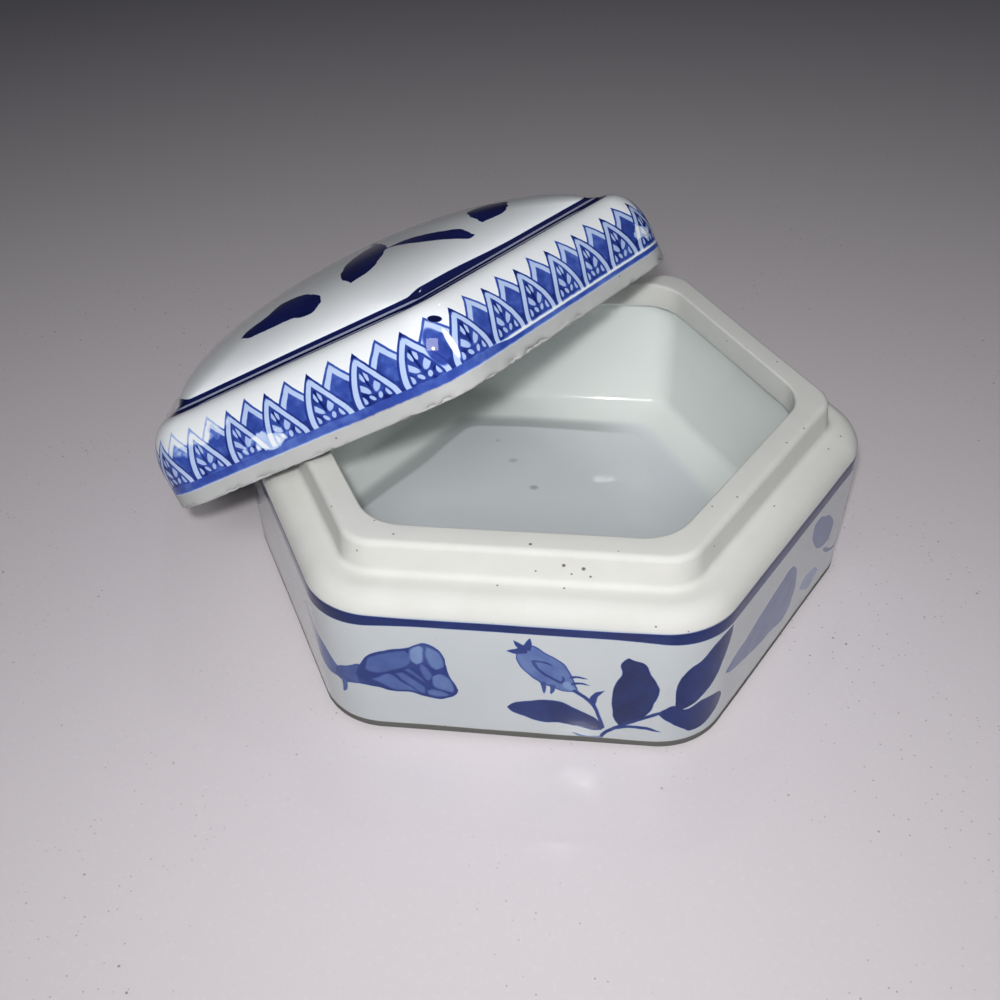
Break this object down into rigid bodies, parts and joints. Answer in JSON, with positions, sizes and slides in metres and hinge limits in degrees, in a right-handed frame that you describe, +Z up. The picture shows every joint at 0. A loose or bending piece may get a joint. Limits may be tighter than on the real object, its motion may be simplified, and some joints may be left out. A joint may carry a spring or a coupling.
{
  "type": "seal paste box",
  "caption": "Low six-sided porcelain box with a raised collar round its open well, and a loose domed lid that leans on the collar.",
  "frame": {"origin": "middle of the box's flat base, on the surface it stands on", "axes": "+Z up. One flat side of the box faces -Y and its two upright corners there point left and right of it. The lid leans toward the back left, between -X and +Y"},
  "size_m": [0.1025, 0.0884, 0.0464],
  "materials": {
    "box": "glossy glaze outside and in the well, bare and matt on the ledge and collar",
    "lid": "glossy glaze, bare and matt on the bottom rim"
  },
  "bodies": {
    "box": {"box": "box"},
    "lid": {"lid": "lid"}
  },
  "joints": [
    {"name": "lid_lift", "type": "slide", "parent": "box", "child": "lid", "axis": [0, 0, 1], "range_m": [0, 0.05]}
  ]
}
